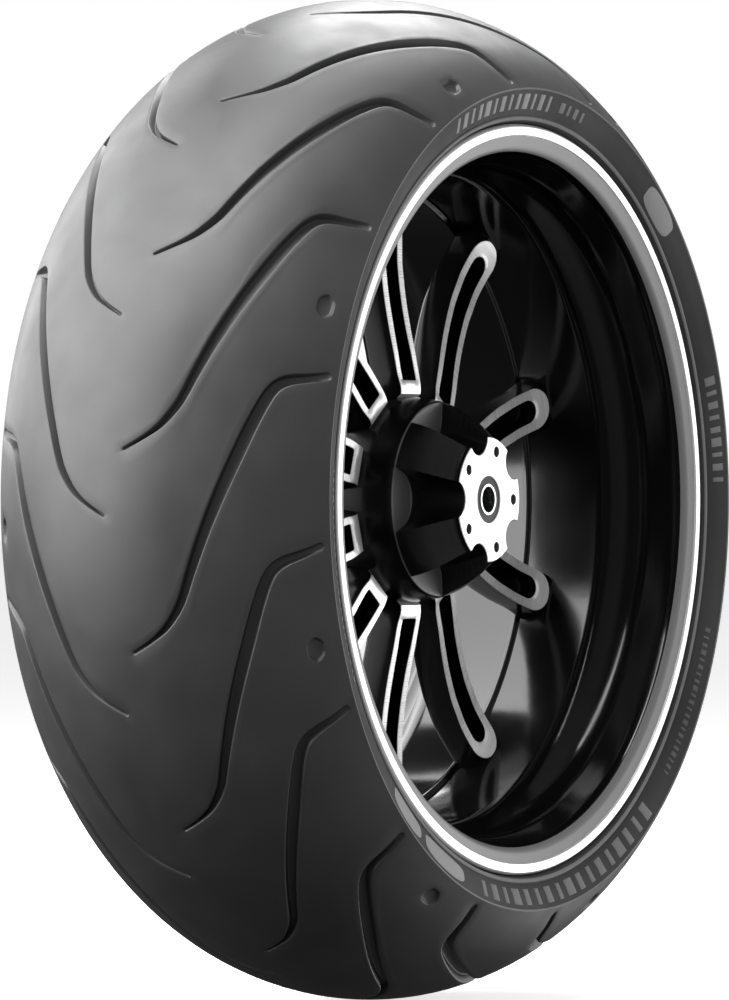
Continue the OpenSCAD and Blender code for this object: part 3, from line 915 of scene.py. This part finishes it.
def flute_floor(turn, out):
    """Radius at which a flute's cone cuts the hub, or a large number where it doesn't."""
    t = (out - FLUTE_END_OUT) / (HUB_FACE_OUT - FLUTE_END_OUT)
    centre = FLUTE_END[0] + (FLUTE_FACE[0] - FLUTE_END[0]) * t
    radius = FLUTE_END[1] + (FLUTE_FACE[1] - FLUTE_END[1]) * t
    step = 2 * math.pi / FLUTES
    away = (turn - math.radians(FLUTE_TURN) + step / 2) % step - step / 2
    across = centre * math.sin(away)
    if abs(across) >= radius:
        return 999.0
    return centre * math.cos(away) - math.sqrt(radius * radius - across * across)


def fluted_radius(turn, out):
    return smooth_min(read_table(HUB_BELL, out), flute_floor(turn, out), 1.2)


def hub_rings():
    """Rings of (radius, turn, out) down the fluted outside, from the machined face to the root."""
    turns = [2 * math.pi * i / HUB_STEPS for i in range(HUB_STEPS)]
    rings = []
    out = HUB_FACE_OUT - 0.5
    while out > FLUTE_END_OUT + 0.8:
        rings.append([(fluted_radius(t, out), t, out) for t in turns])
        out -= 1.1
    bell = read_table(HUB_BELL, FLUTE_END_OUT)
    for k, share in enumerate(WALL_SHARES):
        ring = []
        for t in turns:
            floor = fluted_radius(t, FLUTE_END_OUT + 0.6)
            deep = min(1.0, max(0.0, (bell - floor - 0.2) / 1.5))
            plain = 0.6 - 1.2 * k / (len(WALL_SHARES) - 1)
            out = FLUTE_END_OUT + plain + (WALL_OUTS[k] - plain) * deep
            ring.append((floor + (bell - floor) * share, t, out))
        rings.append(ring)
    for out in ROOT_OUTS:
        rings.append([(read_table(HUB_BELL, out), t, out) for t in turns])
    return turns, rings


def face_plate(outline):
    """Points and triangles of the machined face, inside an outline and round its holes."""
    points, edges, holes = [], [], []

    def add_loop(loop):
        first = len(points)
        points.extend(Vector(p) for p in loop)
        edges.extend((first + i, first + (i + 1) % len(loop)) for i in range(len(loop)))

    add_loop(outline)
    seat_edge = BEARING_SEAT_R + SEAT_CHAMFER
    add_loop(circle(seat_edge, SEAT_STEPS))
    for k in range(BOLTS):
        holes.append(on_circle(DISC_PITCH_R, BOLT_STEP * k))
        add_loop(circle(DISC_HOLE_R + HOLE_CHAMFER, HOLE_SIDES, holes[-1]))
    out, _, tris, _, _, _ = delaunay_2d_cdt(points, edges, [], 1, 1e-6)
    kept = []
    for tri in tris:
        mid = sum((out[k] for k in tri), Vector((0, 0))) / 3
        in_hole = any(math.dist(mid, c) < DISC_HOLE_R for c in holes)
        if mid.length > seat_edge - 0.05 and not in_hole:
            kept.append(tuple(tri))
    return out, kept


def blind_hole(centre, radius, face_out, deep, side):
    """Chamfer, wall and cone-shaped bottom of a drilled hole; side is 1 on the right."""
    steps = [(HOLE_CHAMFER, 0.0), (0.0, HOLE_CHAMFER), (0.0, deep - 1.5), (-radius * 0.98, deep + 0.5)]
    rings = [(radius + grow, face_out - side * depth) for grow, depth in steps]
    return stacked_rings(centre, rings, HOLE_SIDES), capped_bands(len(rings), HOLE_SIDES)


def boss(turn_deg):
    """A pulley boss with its bolt hole and the rib that ties it to the bearing tube."""
    a = math.radians(turn_deg)
    centre = on_circle(PULLEY_PITCH_R, turn_deg)
    rings = [(PULLEY_HOLE_R + HOLE_CHAMFER, PULLEY_FACE_OUT), (BOSS_R - 0.6, PULLEY_FACE_OUT),
             (BOSS_R, PULLEY_FACE_OUT + 0.6), (BOSS_R, WEB_OUT + 0.5), (0.5, WEB_OUT + 0.5)]
    body = stacked_rings(centre, rings, HOLE_SIDES), capped_bands(len(rings), HOLE_SIDES)
    hole = blind_hole(centre, PULLEY_HOLE_R, PULLEY_FACE_OUT, PULLEY_HOLE_DEEP, -1)
    corners = rounded([(-3, PULLEY_FACE_OUT + 6), (3, PULLEY_FACE_OUT + 6), (3, WEB_OUT + 0.5),
                       (-3, WEB_OUT + 0.5)], [1.2, 1.2, 0, 0], steps=3, closed=True)
    rib_verts = []
    for r in (23.0, PULLEY_PITCH_R - BOSS_R + 0.5):
        rib_verts += [((r * math.cos(a) - w * math.sin(a)) * MM, -out * MM,
                       (r * math.sin(a) + w * math.cos(a)) * MM) for w, out in corners]
    rib_faces = capped_bands(2, len(corners)) + [tuple(range(len(corners)))[::-1]]
    return joined([body, hole, (rib_verts, rib_faces)])


def hub():
    """Fluted bell with its machined face, root ring and open left drum."""
    turns, rings = hub_rings()
    verts, faces, slots = [], [], []

    def add_ring(ring):
        verts.extend(place(r, t, o) for r, t, o in ring)
        return len(verts) - HUB_STEPS

    def bridge(a, b, kind):
        for i in range(HUB_STEPS):
            j = (i + 1) % HUB_STEPS
            faces.append((a + i, a + j, b + j, b + i))
            slots.append(kind)

    outline = [(fluted_radius(t, HUB_FACE_OUT) - 0.5, t) for t in turns]
    plate, tris = face_plate([(r * math.cos(t), r * math.sin(t)) for r, t in outline])
    verts.extend((p.x * MM, -HUB_FACE_OUT * MM, p.y * MM) for p in plate)
    faces.extend(tris)
    slots.extend([1] * len(tris))
    previous = add_ring([(r, t, HUB_FACE_OUT) for r, t in outline])
    last_cone = len(rings) - len(WALL_SHARES) - len(ROOT_OUTS)
    for k, ring in enumerate(rings):
        here = add_ring(ring)
        kind = 1 if k == 0 else (2 if last_cone < k < len(rings) - len(ROOT_OUTS) else 0)
        bridge(previous, here, kind)
        previous = here
    corners = [c for _, _, c in HUB_TURNED]
    for r, out in rounded([(r, o) for r, o, _ in HUB_TURNED], corners, steps=3):
        here = add_ring([(r, t, out) for t in turns])
        bridge(previous, here, 0)
        previous = here
    seat_edge = add_ring([(BEARING_SEAT_R, t, HUB_FACE_OUT - SEAT_CHAMFER) for t in turns])
    bridge(previous, seat_edge, 0)
    # the chamfer between the bearing seat and the face has the face plate's own steps
    seat = [(BEARING_SEAT_R, HUB_FACE_OUT - SEAT_CHAMFER), (BEARING_SEAT_R + SEAT_CHAMFER, HUB_FACE_OUT)]
    faces += shifted(ring_bands(2, SEAT_STEPS), len(verts))
    verts += stacked_rings((0.0, 0.0), seat, SEAT_STEPS)
    slots += [1] * SEAT_STEPS
    for k in range(BOLTS):
        centre = on_circle(DISC_PITCH_R, BOLT_STEP * k)
        hole = blind_hole(centre, DISC_HOLE_R, HUB_FACE_OUT, DISC_HOLE_DEEP, 1)
        for kind, (more, more_faces) in ((2, hole), (0, boss(BOLT_STEP * (k + 0.5)))):
            faces += shifted(more_faces, len(verts))
            verts += more
            slots += [kind] * len(more_faces)
    return piece("hub_shell_finished", verts, faces, [SATIN, MACHINED, POCKET], "wheel",
                 replaces=("hub_shell",), face_material=slots, sharp_angle=40)


hub()

# ------------------------------------------------------------------ finishes of the CAD nodes that stay
STEEL = metal("bearing_steel", (0.62, 0.63, 0.65), 0.18, 0.3)
DARK_STEEL = metal("shield_steel", (0.09, 0.09, 0.1), 0.3, 0.45)
COLLAR = metal("collar_steel", (0.78, 0.78, 0.79), 0.2, 0.3)
BRASS = metal("valve_brass", (0.62, 0.45, 0.17), 0.25, 0.4)
SEAL = rubber("seal_rubber", (0.045, 0.045, 0.047), (0.06, 0.06, 0.062), 0.5, 0.6, 0.3)
CORD = woven("ply_cord", (0.10, 0.085, 0.05), (0.3, 0.25, 0.15))
PLASTIC = rubber("cap_plastic", (0.014, 0.014, 0.015), (0.02, 0.02, 0.021), 0.35, 0.45)
FINISHES = {
    "belt_ply_outer": CORD, "belt_ply_inner": CORD, "carcass_ply": CORD, "inner_liner": RUBBER_HIDDEN,
    "bead_core": BRASS, "bead_filler": RUBBER_HIDDEN, "bearing_outer_race": STEEL,
    "bearing_inner_race": STEEL, "bearing_balls": STEEL, "bearing_cage": BRASS,
    "bearing_shields": DARK_STEEL, "dust_seal": SEAL, "axle_collar": COLLAR, "spacer_tube": STEEL,
    "valve_stem": BRASS, "valve_grommet": RUBBER_HIDDEN, "valve_nut": STEEL, "valve_core": BRASS,
    "valve_core_pin": STEEL, "valve_spring": STEEL, "valve_cap": PLASTIC}
for node, obj in frame["nodes"].items():
    finish = FINISHES.get(node) or FINISHES.get(node.removesuffix("_right").removesuffix("_left"))
    if finish:
        obj.data.materials.clear()
        obj.data.materials.append(finish)

# ------------------------------------------------------------------ stage, lights and camera
FLOOR_Z = -TYRE_R * MM
FLOOR_REACH = 60.0


def stage():
    """A wide pale floor. It takes the wheel's soft shadow and throws no light back onto the wheel."""
    m, tree, shader = material("studio_floor", (0.8, 0.8, 0.8), 0.9)
    shader.inputs["Emission Color"].default_value = (1, 1, 1, 1)
    shader.inputs["Emission Strength"].default_value = 0.72
    verts = [(0.0, 0.0, FLOOR_Z)]
    verts += [(x, y, FLOOR_Z) for x, y in circle(FLOOR_REACH, 64)]
    mesh = bpy.data.meshes.new("studio_floor")
    mesh.from_pydata(verts, [], [(0, 1 + k, 1 + (k + 1) % 64) for k in range(64)])
    mesh.materials.append(m)
    obj = bpy.data.objects.new("studio_floor", mesh)
    bpy.context.scene.collection.objects.link(obj)
    obj.visible_glossy = False
    obj.visible_diffuse = False
    return obj


def soft_light(name, direction, distance, width, height, radiance, mirrored=True):
    """A rectangular light of even brightness that faces the wheel; glossy parts may mirror it."""
    data = bpy.data.lights.new(name, "AREA")
    data.shape = "RECTANGLE"
    data.size, data.size_y = width, height
    data.energy = radiance * math.pi * width * height
    obj = bpy.data.objects.new(name, data)
    place_at = Vector(direction).normalized() * distance
    obj.location = place_at
    obj.rotation_euler = (-place_at).to_track_quat("-Z", "Y").to_euler()
    obj.visible_glossy = mirrored
    bpy.context.scene.collection.objects.link(obj)
    return obj


def world(seen, dim, side, side_glow):
    """A pale backdrop. On the wheel it casts a dim light, brighter from one side."""
    w = bpy.data.worlds.new("studio")
    w.use_nodes = True
    tree = w.node_tree
    coords = tree.nodes.new("ShaderNodeTexCoord")
    towards = tree.nodes.new("ShaderNodeVectorMath")
    towards.operation = "DOT_PRODUCT"
    tree.links.new(coords.outputs["Generated"], towards.inputs[0])
    towards.inputs[1].default_value = Vector(side).normalized()
    cast = spread(tree, towards.outputs["Value"], 0.1, 1.0, dim, side_glow)
    path = tree.nodes.new("ShaderNodeLightPath")
    choice = tree.nodes.new("ShaderNodeMix")
    choice.inputs["B"].default_value = seen
    tree.links.new(path.outputs["Is Camera Ray"], choice.inputs["Factor"])
    tree.links.new(cast, choice.inputs["A"])
    background = tree.nodes["Background"]
    background.inputs["Color"].default_value = (1, 1, 1, 1)
    tree.links.new(choice.outputs["Result"], background.inputs["Strength"])
    bpy.context.scene.world = w


def camera():
    """Level view from the right front, far away with a long lens."""
    data = bpy.data.cameras.new("camera")
    data.sensor_width = 36
    data.lens = 300.5
    data.shift_x = -0.0117
    data.shift_y = -0.0005
    obj = bpy.data.objects.new("camera", data)
    turn = math.radians(-59.93)
    reach = 5.422
    obj.location = (reach * math.sin(turn), -reach * math.cos(turn), 0.0)
    obj.rotation_euler = (math.pi / 2, 0, turn)
    bpy.context.scene.collection.objects.link(obj)
    bpy.context.scene.camera = obj


stage()
world(1.0, 0.05, (0.35, -0.93, 0.0), 0.65)
soft_light("key_left", (-0.58, 0.63, 0.46), 3.6, 4.4, 5.8, 6.5)
soft_light("rim_left", (0.24, 0.88, 0.40), 3.8, 3.2, 3.0, 3.6)
soft_light("top", (-0.375, 0.02, 0.94), 3.4, 1.55, 3.0, 8.0)
soft_light("top_rear", (0.60, 0.24, 0.76), 3.6, 1.5, 2.6, 9.5)
soft_light("face_panel", (0.84, -0.53, -0.18), 4.2, 5.0, 4.0, 2.2)
soft_light("front_fill", (-0.97, -0.12, 0.16), 4.0, 4.0, 3.6, 2.4, mirrored=False)
camera()
bpy.context.scene.view_settings.view_transform = "Standard"
